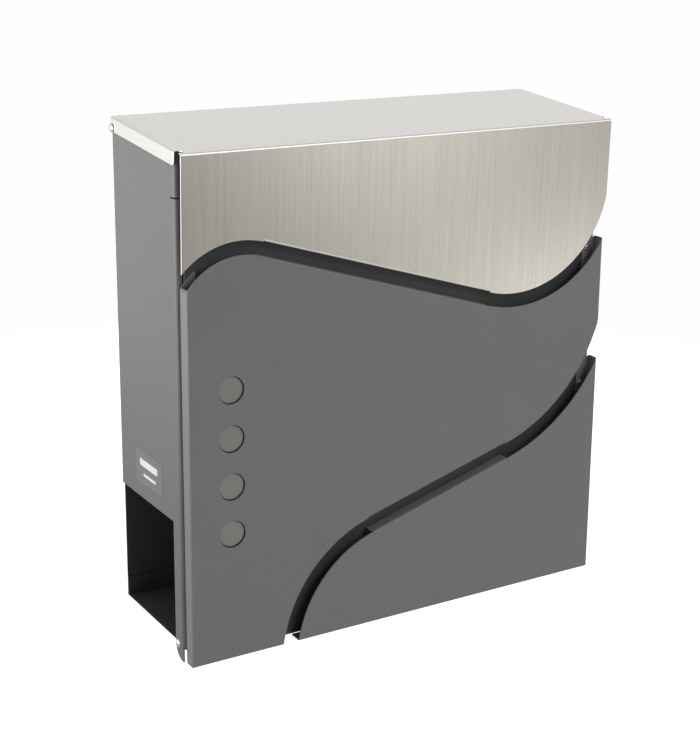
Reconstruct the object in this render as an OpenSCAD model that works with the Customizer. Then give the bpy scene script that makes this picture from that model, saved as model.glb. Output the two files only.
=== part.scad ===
// Wall mounted mailbox with a newspaper compartment.
// +X to the viewer's right, +Y towards the wall, +Z up.
// Origin: wall plane, middle of the four fixing holes.

/* [Body] */
// width over the two side walls
body_w = 370; // [300:1:450]
// depth of the side walls, front face to rear face
body_d = 105; // [85:1:160]
// sheet thickness of the body parts
sheet_t = 1; // [0.8:0.1:1.5]
// outer radius of the front bend of a side wall
wall_bend_r = 3.5; // [2:0.1:5]
// width of the turned-in front edge of a side wall
jamb_w = 4.5; // [4:0.1:8]
// width of the turned-in rear edge of a side wall
rear_flange_w = 14; // [8:1:25]
// height of the underside of the newspaper floor
floor_z = 12.4; // [11:0.1:20]
// height of the lower edge of the closed side walls
side_open_z = 106.5; // [70:0.5:140]
// width of the front post beside the newspaper compartment
post_w = 13; // [12:0.1:18]
// corner radius at the foot of the front post
post_foot_r = 11; // [6:0.5:12]
// length of the turned-in wall edges below the door pivot
jamb_below = 2.5; // [0:0.1:2.5]
// distance of the narrow relief slit in the front bend below the lid's rear edge
slit_down = 44.5; // [30:0.5:60]
// width of the narrow relief slit
slit_w = 0.9; // [0.5:0.1:2]
// length of the relief slit along the side
slit_l = 6.5; // [4:0.5:12]
// height of the upturned edges of floor and shelf
tray_lip_h = 16; // [8:0.5:20]
// gap under the shelf above the newspaper opening
shelf_lift = 1; // [0:0.1:4]
// depth of the mail slot under the lid
slot_d = 42; // [30:1:60]
// depth of the front crossbar's folded edges
bar_fold_d = 11.2; // [8:0.1:11.2]

/* [Wall fixing] */
// distance of the fixing holes from the outer face of each side wall
fix_in = 45; // [25:1:80]
// vertical distance between the fixing holes
fix_dz = 190; // [120:5:220]
// distance of the middle of the fixing holes below the lid's rear edge
fix_down = 144.5; // [130:0.5:170]
// diameter of a fixing hole
fix_hole_d = 7; // [5:0.5:9]
// distance from the wall to the rear face of the body
wall_gap = 6; // [6:0.5:10]
// diameter of a stand-off pad where it leaves the back
pad_base_d = 34; // [30:1:45]
// diameter of a stand-off pad at the wall
pad_tip_d = 24; // [18:1:28]

/* [Lid] */
// distance that the lid's side edges stand out past the side walls
lid_over = 1.5; // [1.2:0.1:3]
// distance of the flap's edges inside the lid's side edges
flap_in = 0.7; // [0.2:0.1:2]
// sheet thickness of the lid
lid_t = 0.8; // [0.6:0.1:1.2]
// height of the lid's rear edge above the lower edge of the panels
lid_rear_z = 389.5; // [380:0.5:420]
// distance of the lid's rear edge from the rear face of the body
lid_rear_gap = 0.5; // [0:0.1:3]
// downward slope of the lid towards the front
lid_pitch = 5.6; // [3:0.1:8]
// backward lean of the hanging flap
flap_lean = 1.5; // [0:0.1:2]
// outer radius of the lid's bends
lid_bend_r = 2; // [1.2:0.1:3]
// height of the lid's side edges
lid_edge_h = 10.7; // [10.7:0.1:14]
// gap between the lid and the top edges of the body
lid_seat_gap = 0.5; // [0.3:0.1:1]
// opening angle of the lid that the rear top edge of the body is bevelled for
lid_swing = 28; // [20:1:34]
// diameter of the round corner relief at the lid's front
lid_relief_d = 6; // [4:0.5:7]
// distance of the corner relief behind the lid's front bend
lid_relief_in = 1; // [0.5:0.1:3]
// corner radius of the lid's side edges at the front
lid_edge_r = 3; // [1:0.1:4]
// sheet that is left around the lid pivot at the rear corner
lid_ear_margin = 1; // [0.5:0.1:2]
// distance of the lid pivot from the lid's rear edge
lid_pivot_in = 3.5; // [3.4:0.1:5]
// distance of the lid pivot below the lid's top
lid_pivot_down = 8; // [7.5:0.1:8]
// depth of the folded edge under the flap
flap_fold_d = 7; // [5:0.5:7]

/* [Door] */
// distance that the door face stands in front of the side walls
door_proud = 0.6; // [0.4:0.1:1]
// gap between the door and each turned-in wall edge
door_side_gap = 1; // [0.5:0.1:2]
// gap between the door's top edge and the crossbar
door_top_gap = 1; // [0.6:0.1:2]
// height of the door's lower edge
door_bottom_z = 0.8; // [0.5:0.1:2]
// depth of the door's folded edges
door_fold_d = 7; // [5:0.5:7]
// outer radius of the door's bends
door_bend_r = 1.6; // [1.2:0.1:3]
// height of the door pivot
pivot_z = 12; // [12:0.1:14]
// distance of the door pivot behind the door face
pivot_back = 9.4; // [9.4:0.1:9.8]
// radius of the door's pivot ear
pivot_ear_r = 3.8; // [3.4:0.1:3.8]
// diameter of the nylon bush at the door pivot
bush_d = 7.8; // [7:0.1:7.8]

/* [Rivets] */
// head diameter of a hinge rivet
hinge_head_d = 6.5; // [6:0.1:6.5]
// head height of a hinge rivet
hinge_head_h = 1.8; // [1.2:0.1:3]
// shank diameter of a hinge rivet
hinge_pin_d = 4; // [3:0.1:4.2]
// running clearance around a hinge rivet, on the radius
pin_clear = 0.08; // [0.02:0.01:0.1]
// tail diameter of a hinge rivet, inside
hinge_tail_d = 6; // [5.5:0.1:6]
// tail height of a hinge rivet, inside
hinge_tail_h = 1.4; // [1:0.1:1.6]
// side play at a hinge
side_play = 0.2; // [0.1:0.05:0.3]
// head diameter of a panel rivet
rivet_head_d = 5; // [4:0.1:6]
// head height of a panel rivet
rivet_head_h = 1.3; // [0.8:0.1:2]
// shank diameter of a panel rivet
rivet_pin_d = 3; // [2.4:0.1:3.2]
// tail diameter of a panel rivet, inside the door
rivet_tail_d = 4.2; // [3.6:0.1:5]
// height of the lowest rivets on the panels' side lips
foot_rivet_z = 24; // [16:1:40]
// distance of the lower panel's top right rivet below the panel's corner
low_rivet_in = 22.6; // [10:0.1:40]
// distance of the middle panel's top rivets below the panel's corners
up_rivet_in = 9.5; // [8:0.1:20]
// distance between the middle panel's two right rivets
rivet_step = 50; // [30:1:60]

/* [Front panels] */
// distance of the front panels' sides inside the side walls' outer faces
panel_in = 1.7; // [0.5:0.1:3]
// sheet thickness of the front panels
panel_t = 1.2; // [0.8:0.1:1.5]
// distance of the panel face in front of the door face
panel_h = 12; // [11:0.5:14]
// outer radius of the panels' bends
panel_bend_r = 2; // [1.6:0.1:3]
// width of the turned-in lips on the door
lip_w = 12; // [11:0.5:14]
// slit beside each end of a folded wave edge
fold_slit = 0.3; // [0.1:0.1:0.6]
// distance of the panel rivets from a panel's edge
rivet_in = 7.7; // [7.6:0.1:8.4]

/* [Upper wave] */
// distance of the start of the upper wave's straight part from the panels' left side
up_start_in = 58; // [56:0.1:75]
// distance of the start of the upper wave's straight part below the lid's rear edge
up_down = 87.7; // [84:0.1:95]
// slope of the upper wave's straight part
up_slope = -17.1; // [-20:0.1:-12]
// distance of the end of the upper wave's straight part from the panels' right side
up_end_in = 111.3; // [103:0.1:123]
// radius of the upper wave's crest
up_crest_r = 52; // [48:1:70]
// radius of the upper wave's trough
up_trough_r = 97; // [92:1:110]
// gap between the flap and the middle panel
up_gap = 10; // [6:0.5:12]

/* [Lower wave] */
// distance of the start of the lower wave's straight part from the panels' left side
low_start_in = 149.6; // [143:0.1:163]
// height of the start of the lower wave's straight part
low_z0 = 87.6; // [80:0.1:95]
// slope of the lower wave's straight part
low_slope = 16.5; // [12:0.1:20]
// distance of the end of the lower wave's straight part from the panels' right side
low_end_in = 91.3; // [83:0.1:103]
// radius of the lower wave's crest
low_crest_r = 105; // [90:1:120]
// radius of the lower wave's trough
low_trough_r = 134; // [125:1:150]
// gap between the middle panel and the lower panel
low_gap = 13; // [8:0.5:16]

/* [Accents] */
// diameter of the round openings in the middle panel
port_d = 20.7; // [16:0.1:24]
// number of round openings
port_n = 4; // [1:1:4]
// distance between round openings
port_pitch = 36.3; // [30:0.1:44]
// distance of the top round opening below the lid's rear edge
port_down = 182.2; // [174:0.1:210]
// distance of the round openings from the panel's left edge
port_in = 33.4; // [28:0.1:50]
// gap around an accent stud inside its opening
stud_gap = 0.3; // [0.2:0.1:1]
// depth of the stud's face behind the panel face
stud_recess = 1.5; // [1.2:0.1:5]
// thickness of the stud's head
stud_head_h = 2.5; // [1.5:0.1:4]
// diameter of the stud's neck
stud_neck_d = 10; // [8:0.5:14]
// diameter of the stud's threaded end
stud_pin_d = 5; // [4:0.5:6]

/* [Lock] */
// distance of the lock below the lid's rear edge
lock_down = 67.5; // [61:0.5:74]
// place of the lock across
lock_x = 0; // [-60:1:60]
// diameter of the lock's collar
lock_collar_d = 22; // [20:0.5:26]
// thickness of the lock's collar
lock_collar_h = 3; // [2:0.1:4]
// diameter of the lock's body
lock_body_d = 18.6; // [16:0.1:19]
// diameter of the lock's turning plug
plug_d = 12; // [10:0.1:13]
// gap between the crossbar's edge and the cam
cam_gap = 0.5; // [0.3:0.1:1]
// thickness of the cam
cam_t = 2; // [1.5:0.1:3]
// reach of the cam from the lock's axis
cam_reach = 30; // [27:0.5:34]
// width of the cam
cam_w = 12; // [10:0.5:14]
// width of the key slot
key_slot_w = 1.6; // [1:0.1:2.5]
// length of the key slot
key_slot_l = 7.2; // [5:0.1:8]
// depth of the key slot
key_slot_d = 5; // [2:0.5:8]

/* [View] */
// node to draw

/* [Hidden] */
$fn = 96;
eps = 0.01;
lap = 1;
// a wave's arcs stand this much past its straight line, so that they cross it cleanly
wave_cross = 0.02;
wave_lap = 4;
// the flap stands this much past its bend and overlaps it, so that they join cleanly
bend_cross = 0.02;
bend_lap = 0.3;
bend_lap_angle = 8;
span = 700;
// planes, front to rear
rear_y = -wall_gap;
wall_front_y = rear_y - body_d;
door_y = wall_front_y - door_proud;
front_y = door_y - panel_h;
back_y = rear_y - sheet_t;
post_rear_y = wall_front_y + post_w;
// heights that hang from the lid
slit_z = lid_rear_z - slit_down;
fix_z = lid_rear_z - fix_down;
up_z0 = lid_rear_z - up_down;
port_top_z = lid_rear_z - port_down;
lock_z = lid_rear_z - lock_down;
// widths
lid_w = body_w + 2 * lid_over;
flap_w = lid_w - 2 * flap_in;
panel_w = body_w - 2 * panel_in;
fix_dx = body_w - 2 * fix_in;
washer_t = lid_over - lid_t - side_play;
// inner faces
wall_in = body_w / 2 - sheet_t;
door_w = body_w - 2 * (jamb_w + door_side_gap);
bar_y = wall_front_y + sheet_t;
bar_edge_y = bar_y + bar_fold_d;
bar_z = slit_z + slit_w;
door_top_z = bar_z - door_top_gap;
floor_top_z = floor_z + sheet_t;
shelf_z = side_open_z + shelf_lift;
pivot_y = door_y + pivot_back;
jamb_start_z = pivot_z - jamb_below;
// lid frame: bend centre at the front top corner
lid_rear_y = rear_y - lid_rear_gap;
lid_cy = front_y + lid_bend_r;
lid_len = (lid_rear_y - lid_cy + lid_bend_r * sin(lid_pitch)) / cos(lid_pitch);
lid_cz = lid_rear_z - lid_len * sin(lid_pitch) - lid_bend_r * cos(lid_pitch);
lid_under = lid_bend_r - lid_t - lid_seat_gap;
lid_pivot_v = lid_len - lid_pivot_in;
lid_pivot_w = lid_bend_r - lid_pivot_down;
lid_relief_v = lid_relief_d / 2 + lid_relief_in;
// waves: start, slope, end, crest radius, trough radius
up_x0 = -panel_w / 2 + up_start_in;
up_x1 = panel_w / 2 - up_end_in;
low_x0 = -panel_w / 2 + low_start_in;
low_x1 = panel_w / 2 - low_end_in;
upper = [up_x0, up_z0, up_slope, up_x1, up_crest_r, up_trough_r];
lower = [low_x0, low_z0, low_slope, low_x1, low_crest_r, low_trough_r];
lower_off = -low_gap;
// height of a wave on its trough side at the place x
function trough_z(w, off, x) =
  let (
    c1 = wave_end(w) + w[5] * wave_normal(w),
    r = w[5] - off,
    dx = min(abs(x - c1[0]), r)
  )
  c1[1] - sqrt(r * r - dx * dx);
// height of a wave on its crest side at the place x
function crest_z(w, off, x) =
  let (
    c0 = [w[0], w[1]] - w[4] * wave_normal(w),
    r = w[4] + off,
    dx = min(abs(x - c0[0]), r)
  )
  c0[1] + sqrt(r * r - dx * dx);
up_start_z = crest_z(upper, 0, -panel_w / 2);
up_end_z = trough_z(upper, 0, panel_w / 2);
low_end_z = trough_z(lower, lower_off, panel_w / 2);
// panel rivets on the side lips
rivet_x = panel_w / 2 - rivet_in;
left_top_z = up_start_z - up_rivet_in;
right_top_z = up_end_z - up_rivet_in;
low_rivet_z = low_end_z - low_rivet_in;
left_rivets = [for (i = [0 : 3]) foot_rivet_z + i * (left_top_z - foot_rivet_z) / 3];
right_rivets = [
  foot_rivet_z, (foot_rivet_z + low_rivet_z) / 2, low_rivet_z,
  right_top_z - rivet_step, right_top_z
];
// rivet places on the wave lips, as shares of the straight part
wave_rivets = [0.08, 0.5, 0.92];
// accent studs
port_x = -panel_w / 2 + port_in;
stud_r = port_d / 2 - stud_gap;
nut_h = 4;
nut_r = stud_pin_d * 0.9;
thread_proud = 1;
lid_ear_r = lid_pivot_in + lid_ear_margin;
// free room around what turns or ends at a hinge
hinge_room = 1;
// lock
cam_y = bar_edge_y + cam_gap;
plug_proud = 0.4;
plug_end_y = cam_y - 0.2;
lock_body_end_y = cam_y - 1.2;
lock_nut_h = 4;
lock_nut_r = 13;
cam_sq = plug_d / 2;
cam_hub_d = cam_w + 2;
screw_head_h = 3;
screw_head_d = 9;
screw_pin_d = 4;
screw_depth = 6;

// heights count from the panels' lower edge, the origin is at the fixing holes
module hung() {
  translate([0, 0, -fix_z])
    children();
}

module both_sides() {
  for (side = [0, 1])
    mirror([side, 0, 0])
      children();
}

// lid frame: Y along the lid's top towards the rear, Z away from it
module lid_frame() {
  translate([0, lid_cy, lid_cz])
    rotate([lid_pitch, 0, 0])
      children();
}

// flap frame: same heights as outside, leaning back about the front top bend
module flap_frame() {
  translate([0, lid_cy, lid_cz])
    rotate([flap_lean, 0, 0])
      translate([0, 0, -lid_cz])
        children();
}

// extrudes a drawing in X and Y up from z0 to z1
module rise(z0, z1) {
  translate([0, 0, z0])
    linear_extrude(z1 - z0)
      children();
}

// extrudes a drawing in X and Z from y0 back to y1
module deep(y0, y1) {
  translate([0, y1, 0])
    rotate([90, 0, 0])
      linear_extrude(y1 - y0)
        children();
}

// extrudes a drawing in Y and Z across from x0 to x1
module across(x0, x1) {
  translate([x0, 0, 0])
    rotate([90, 0, 90])
      linear_extrude(x1 - x0)
        children();
}

// quarter to half ring from angle a0 to a1
module ring_part(r_out, r_in, a0, a1) {
  am = (a0 + a1) / 2;
  k = 2 * r_out;
  difference() {
    intersection() {
      circle(r = r_out);
      polygon([
        [0, 0],
        [k * cos(a0), k * sin(a0)],
        [k * cos(am), k * sin(am)],
        [k * cos(a1), k * sin(a1)]
      ]);
    }
    circle(r = r_in);
  }
}

module round_rect(x0, y0, x1, y1, r) {
  translate([x0 + r, y0])
    square([x1 - x0 - 2 * r, y1 - y0]);
  translate([x0, y0 + r])
    square([x1 - x0, y1 - y0 - 2 * r]);
  for (x = [x0 + r, x1 - r], y = [y0 + r, y1 - r])
    translate([x, y])
      circle(r = r);
}

// everything below a wave, moved up by off, drawn in X and Z
module under_wave(w, off) {
  n = wave_normal(w);
  s0 = [w[0], w[1]];
  s1 = wave_end(w);
  c0 = s0 - w[4] * n;
  c1 = s1 + w[5] * n;
  p0 = s0 + off * n;
  p1 = s1 + off * n;
  intersection() {
    translate([-span, -span])
      square([span + p0[0] + wave_lap, 2 * span]);
    union() {
      translate(c0)
        circle(r = w[4] + off + wave_cross);
      translate([-span, -span])
        square([2 * span, span + c0[1]]);
    }
  }
  polygon([
    [p0[0], -span],
    [p1[0] + wave_lap, -span],
    [p1[0] + wave_lap, p1[1] + wave_lap * tan(w[2])],
    p0
  ]);
  difference() {
    translate([p1[0], -span])
      square([span - p1[0], span + c1[1]]);
    translate(c1)
      circle(r = w[5] - off + wave_cross);
  }
}

function wave_normal(w) = [-sin(w[2]), cos(w[2])];
function wave_end(w) = [w[3], w[1] + (w[3] - w[0]) * tan(w[2])];
function wave_len(w) = (w[3] - w[0]) / cos(w[2]);
function wave_start(w, off) = [w[0] - off * sin(w[2]), 0, w[1] + off * cos(w[2])];
function wave_spot(w, off, share) =
  wave_start(w, off) + share * (w[3] - w[0]) * [1, 0, tan(w[2])];

// moves to the start of a wave's straight part, X along it and Z away from it
module on_wave(w, off) {
  translate(wave_start(w, off))
    rotate([0, -w[2], 0])
      children();
}

// folded edge in Y and Z: bend, leg to the rear and a turned-in lip
module fold_section(depth, t, r, lip) {
  // strip of the flat sheet, so that the fold and the sheet overlap
  translate([0, -r - lap])
    square([t, lap]);
  translate([r, -r])
    ring_part(r, r - t, 90, 180);
  if (lip > 0) {
    translate([r, -t])
      square([depth - 2 * r, t]);
    translate([depth - r, -r])
      ring_part(r, r - t, 0, 90);
    translate([depth - t, -lip])
      square([t, lip - r]);
  } else {
    translate([r, -t])
      square([depth - r, t]);
  }
}

// pan with folded side edges and a folded lower edge, open at the rear
module pan(w, h, t, r, lip, y0, z0, z1, top_fold) {
  difference() {
    intersection() {
      rise(z0, z1)
        round_rect(-w / 2, y0, w / 2, y0 + h + (lip > 0 ? 0 : r), r);
      across(-w / 2, w / 2)
        round_rect(y0, z0, y0 + h + r, z1 + (top_fold ? 0 : r), r);
      translate([-w / 2, y0, z0])
        cube([w, h, z1 - z0]);
    }
    intersection() {
      rise(z0, z1)
        round_rect(-w / 2 + t, y0 + t, w / 2 - t, y0 + h - (lip > 0 ? t : -r), r - t);
      across(-w / 2, w / 2)
        round_rect(y0 + t, z0 + t, y0 + h + r, z1 + (top_fold ? -t : r), r - t);
    }
    if (lip > 0)
      translate([-w / 2 + lip, y0 + h - t - eps, z0 + t])
        cube([w - 2 * lip, t + 2 * eps, z1 - z0]);
  }
}

// everything under the lid when it is open by an angle
module under_open_lid(angle) {
  lid_frame()
    translate([0, lid_pivot_v, lid_pivot_w])
      rotate([-angle, 0, 0])
        translate([-body_w, -span / 2, -span])
          cube([2 * body_w, span, span + lid_under - lid_pivot_w]);
}

// room of the body: under the closed lid, bevelled at the rear for the lid's swing
module under_lid() {
  intersection() {
    under_open_lid(0);
    under_open_lid(lid_swing / 2);
    under_open_lid(lid_swing);
  }
}

// layer of thickness t that lies under the closed lid, from y0 to y1
module lid_layer(y0, y1, t) {
  intersection() {
    translate([-wall_in, y0, 0])
      cube([2 * wall_in, y1 - y0, span]);
    lid_frame()
      translate([-span, -span, lid_under - t])
        cube([2 * span, 2 * span, t]);
    under_open_lid(lid_swing);
  }
}

// ---------- body ----------

module fixing_places() {
  for (x = [-fix_dx / 2, fix_dx / 2], z = [-fix_dz / 2, fix_dz / 2])
    translate([x, 0, fix_z + z])
      rotate([90, 0, 0])
        children();
}

module back_panel() {
  color("slategray")
    hung()
      difference() {
        union() {
          intersection() {
            translate([-wall_in, back_y - sheet_t, floor_z])
              cube([2 * wall_in, sheet_t, lid_rear_z - floor_z]);
            under_lid();
          }
          fixing_places()
            cylinder(d1 = pad_tip_d, d2 = pad_base_d, h = -back_y);
        }
        fixing_places()
          translate([0, 0, sheet_t])
            cylinder(d1 = pad_tip_d - 2 * sheet_t, d2 = pad_base_d - 2 * sheet_t, h = -back_y + eps);
        fixing_places()
          translate([0, 0, -1])
            cylinder(d = fix_hole_d, h = wall_gap);
        lid_rivet_room();
      }
}

// side wall drawn in X and Y, left side
module wall_section() {
  x0 = -body_w / 2;
  r = wall_bend_r;
  translate([x0 + r, wall_front_y + r])
    ring_part(r, r - sheet_t, 180, 270);
  translate([x0, wall_front_y + r])
    square([sheet_t, body_d - r]);
  translate([x0 + r, wall_front_y])
    square([jamb_w - r, sheet_t]);
  translate([x0, back_y])
    square([rear_flange_w, sheet_t]);
}

module side_wall() {
  tab_z = pivot_z + pivot_ear_r + 2 * hinge_room;
  difference() {
    union() {
      intersection() {
        rise(jamb_start_z, lid_rear_z)
          wall_section();
        under_lid();
      }
      // flat foot of the front post
      difference() {
        translate([-body_w / 2, wall_front_y, 0])
          cube([sheet_t, post_w, jamb_start_z]);
        translate([-body_w / 2 - 1, post_rear_y - post_foot_r, 0])
          difference() {
            translate([0, 0, -1])
              cube([sheet_t + 2, post_foot_r + 1, post_foot_r + 1]);
            translate([-1, 0, post_foot_r])
              rotate([0, 90, 0])
                cylinder(r = post_foot_r, h = sheet_t + 4);
          }
      }
      // tab behind the post that carries the floor
      translate([-body_w / 2, post_rear_y - sheet_t, tab_z])
        cube([rear_flange_w, sheet_t, floor_z + tray_lip_h - tab_z]);
    }
    // newspaper opening
    translate([-body_w / 2 - 1, post_rear_y, -1])
      cube([rear_flange_w + 2, body_d, side_open_z + 1]);
    // relief slit in the front bend
    translate([-body_w / 2 - 1, wall_front_y - 1, slit_z])
      cube([jamb_w + 2, slit_l + 1, slit_w]);
    pivot_hole(hinge_pin_d);
    lid_pivot_hole(hinge_pin_d);
    lid_rivet_room();
  }
}

module left_side_wall() {
  color("darkgray")
    hung()
      side_wall();
}

module right_side_wall() {
  color("darkgray")
    hung()
      mirror([1, 0, 0])
        side_wall();
}

module floor_tray() {
  color("dimgray")
    hung() {
      translate([-wall_in, post_rear_y, floor_z])
        cube([2 * wall_in, back_y - sheet_t - post_rear_y, sheet_t]);
      translate([-wall_in, post_rear_y, floor_z])
        cube([2 * wall_in, sheet_t, tray_lip_h]);
      translate([-wall_in, back_y - 2 * sheet_t, floor_z])
        cube([2 * wall_in, sheet_t, tray_lip_h]);
    }
}

module divider_shelf() {
  shelf_front_y = post_rear_y - 2 * sheet_t;
  shelf_d = back_y - sheet_t - shelf_front_y;
  color("dimgray")
    hung()
      difference() {
        translate([-wall_in, shelf_front_y, shelf_z])
          cube([2 * wall_in, shelf_d, tray_lip_h]);
        translate([-wall_in + sheet_t, shelf_front_y + sheet_t, shelf_z + sheet_t])
          cube([2 * (wall_in - sheet_t), shelf_d - 2 * sheet_t, tray_lip_h]);
      }
}

module front_crossbar() {
  color("gray")
    hung()
      intersection() {
        rise(bar_z, lid_rear_z)
          round_rect(-wall_in, bar_y, wall_in, bar_edge_y + wall_bend_r, wall_bend_r - sheet_t);
        union() {
          intersection() {
            translate([-wall_in, bar_y, bar_z])
              cube([2 * wall_in, sheet_t, span]);
            under_lid();
          }
          translate([-wall_in, bar_y, bar_z])
            cube([2 * wall_in, bar_fold_d, sheet_t]);
          lid_layer(bar_y, bar_edge_y, sheet_t);
        }
      }
}

module top_ledge() {
  ledge_y = bar_edge_y + slot_d;
  ledge_end_y = back_y - sheet_t;
  color("gray")
    hung()
      difference() {
        union() {
          lid_layer(ledge_y, ledge_end_y, sheet_t);
          lid_layer(ledge_y, ledge_y + sheet_t, tray_lip_h);
          lid_layer(ledge_end_y - sheet_t, ledge_end_y, tray_lip_h);
        }
        lid_rivet_room();
      }
}

// ---------- hinges ----------

module at_pivot(x) {
  translate([x, pivot_y, pivot_z])
    rotate([0, 90, 0])
      children();
}

module at_lid_pivot(x) {
  lid_frame()
    translate([x, lid_pivot_v, lid_pivot_w])
      rotate([0, 90, 0])
        children();
}

module pivot_hole(d) {
  at_pivot(-body_w)
    cylinder(d = d, h = 2 * body_w);
}

module lid_pivot_hole(d) {
  at_lid_pivot(-body_w)
    cylinder(d = d, h = 2 * body_w);
}

// domed head that rises along Z from a flat round base
module dome(d, h) {
  big_r = (d * d / 4 + h * h) / (2 * h);
  intersection() {
    translate([0, 0, h - big_r])
      sphere(r = big_r);
    cylinder(d = d, h = h);
  }
}

// rivet along Z, its outer head towards -Z
module hinge_rivet(grip) {
  mirror([0, 0, 1])
    dome(hinge_head_d, hinge_head_h);
  cylinder(d = hinge_pin_d, h = grip);
  translate([0, 0, grip])
    cylinder(d = hinge_tail_d, h = hinge_tail_h);
}

// free room around the tails of the lid's rivets, inside the side walls
module lid_rivet_room() {
  both_sides()
    at_lid_pivot(-wall_in)
      cylinder(d = hinge_tail_d + 2 * hinge_room, h = hinge_tail_h + hinge_room);
}

module lid_rivets() {
  color("silver")
    hung()
      both_sides()
        at_lid_pivot(-lid_w / 2 - side_play)
          hinge_rivet(lid_w / 2 + side_play - wall_in);
}

module lid_washers() {
  color("black")
    hung()
      both_sides()
        at_lid_pivot(-body_w / 2 - washer_t)
          difference() {
            cylinder(d = hinge_head_d, h = washer_t);
            translate([0, 0, -1])
              cylinder(d = hinge_pin_d, h = washer_t + 2);
          }
}

module door_rivets() {
  ear_in = door_w / 2 - sheet_t;
  color("silver")
    hung()
      both_sides()
        at_pivot(-body_w / 2)
          hinge_rivet(body_w / 2 - ear_in + side_play);
}

module pivot_bushes() {
  color("black")
    hung()
      both_sides()
        at_pivot(-wall_in)
          difference() {
            cylinder(d = bush_d, h = wall_in - door_w / 2 - side_play);
            translate([0, 0, -1])
              cylinder(d = hinge_pin_d, h = wall_in);
          }
}

// ---------- door ----------

module stud_places() {
  for (i = [0 : port_n - 1])
    translate([port_x, 0, port_top_z - i * port_pitch])
      rotate([-90, 0, 0])
        children();
}

module at_lock() {
  translate([lock_x, 0, lock_z])
    rotate([-90, 0, 0])
      children();
}

module panel_rivet_places() {
  for (z = left_rivets)
    translate([-rivet_x, 0, z])
      children();
  for (z = right_rivets)
    translate([rivet_x, 0, z])
      children();
  for (s = wave_rivets) {
    translate(wave_spot(upper, -rivet_in, s))
      children();
    translate(wave_spot(lower, rivet_in, s))
      children();
    translate(wave_spot(lower, lower_off - rivet_in, s))
      children();
  }
}

module rivet_holes() {
  panel_rivet_places()
    rotate([-90, 0, 0])
      translate([0, 0, door_y - panel_t - 1])
        cylinder(d = rivet_pin_d, h = panel_t + sheet_t + 2);
}

module panel_rivets() {
  color("silver")
    hung()
      panel_rivet_places()
        translate([0, door_y - panel_t, 0])
          rotate([-90, 0, 0]) {
            mirror([0, 0, 1])
              dome(rivet_head_d, rivet_head_h);
            cylinder(d = rivet_pin_d, h = panel_t + sheet_t);
            translate([0, 0, panel_t + sheet_t])
              cylinder(d = rivet_tail_d, h = rivet_head_h);
          }
}

module door_pan() {
  color("gray")
    hung()
      difference() {
        union() {
          pan(door_w, door_fold_d, sheet_t, door_bend_r, 0, door_y, door_bottom_z, door_top_z, true);
          both_sides()
            translate([-door_w / 2, 0, 0]) {
              translate([0, pivot_y, pivot_z])
                rotate([0, 90, 0])
                  cylinder(r = pivot_ear_r, h = sheet_t);
              translate([0, door_y + door_fold_d / 2, pivot_z - pivot_ear_r])
                cube([sheet_t, pivot_back - door_fold_d / 2, 2 * pivot_ear_r]);
            }
        }
        pivot_hole(hinge_pin_d + 2 * pin_clear);
        rivet_holes();
        stud_places()
          translate([0, 0, door_y - 1])
            cylinder(d = stud_pin_d, h = sheet_t + 2);
        at_lock()
          translate([0, 0, door_y - 1])
            cylinder(d = lock_body_d, h = sheet_t + 2);
      }
}

// front panel cut to the drawing given as children, with its wave edges folded
module front_panel(over, under) {
  difference() {
    intersection() {
      pan(panel_w, panel_h, panel_t, panel_bend_r, lip_w, front_y, 0, up_z0 + up_crest_r, false);
      deep(front_y - 1, door_y + 1)
        children();
    }
    for (e = over)
      on_wave(e[0], e[1])
        translate([-fold_slit, front_y - 1, -panel_bend_r])
          cube([wave_len(e[0]) + 2 * fold_slit, panel_h + 2, panel_bend_r + 1]);
    for (e = under)
      on_wave(e[0], e[1])
        translate([-fold_slit, front_y - 1, -1])
          cube([wave_len(e[0]) + 2 * fold_slit, panel_h + 2, panel_bend_r + 1]);
    rivet_holes();
  }
  difference() {
    union() {
      for (e = over)
        on_wave(e[0], e[1])
          translate([0, front_y, 0])
            across(0, wave_len(e[0]))
              fold_section(panel_h, panel_t, panel_bend_r, lip_w);
      for (e = under)
        on_wave(e[0], e[1])
          translate([0, front_y, 0])
            mirror([0, 0, 1])
              across(0, wave_len(e[0]))
                fold_section(panel_h, panel_t, panel_bend_r, lip_w);
    }
    rivet_holes();
  }
}

// right side lip of a panel, straight up to the end of the side fold
module right_lip(w, off) {
  x0 = panel_w / 2 - lip_w;
  z0 = trough_z(w, off, x0) - lip_w;
  difference() {
    translate([x0, door_y - panel_t, z0])
      cube([lip_w - panel_bend_r, panel_t, trough_z(w, off, panel_w / 2) - z0]);
    rivet_holes();
  }
}

module middle_panel() {
  color("darkslategray")
    hung()
      difference() {
        union() {
          front_panel([[upper, 0]], [[lower, 0]])
            difference() {
              under_wave(upper, 0);
              under_wave(lower, 0);
            }
          right_lip(upper, 0);
        }
        stud_places()
          translate([0, 0, front_y - 1])
            cylinder(d = port_d, h = panel_t + 2);
      }
}

module lower_panel() {
  color("darkslategray")
    hung() {
      front_panel([[lower, lower_off]], [])
        under_wave(lower, lower_off);
      right_lip(lower, lower_off);
    }
}

module accent_studs() {
  color("lightgray")
    hung()
      stud_places() {
        translate([0, 0, front_y + stud_recess])
          cylinder(r = stud_r, h = stud_head_h);
        translate([0, 0, front_y + stud_recess])
          cylinder(d = stud_neck_d, h = panel_h - stud_recess);
        translate([0, 0, door_y - lap])
          cylinder(d = stud_pin_d, h = lap + sheet_t + nut_h + thread_proud);
      }
}

module stud_nuts() {
  color("silver")
    hung()
      stud_places()
        translate([0, 0, door_y + sheet_t])
          difference() {
            cylinder(r = nut_r, h = nut_h, $fn = 6);
            translate([0, 0, -1])
              cylinder(d = stud_pin_d, h = nut_h + 2);
          }
}

// ---------- lock ----------

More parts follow.
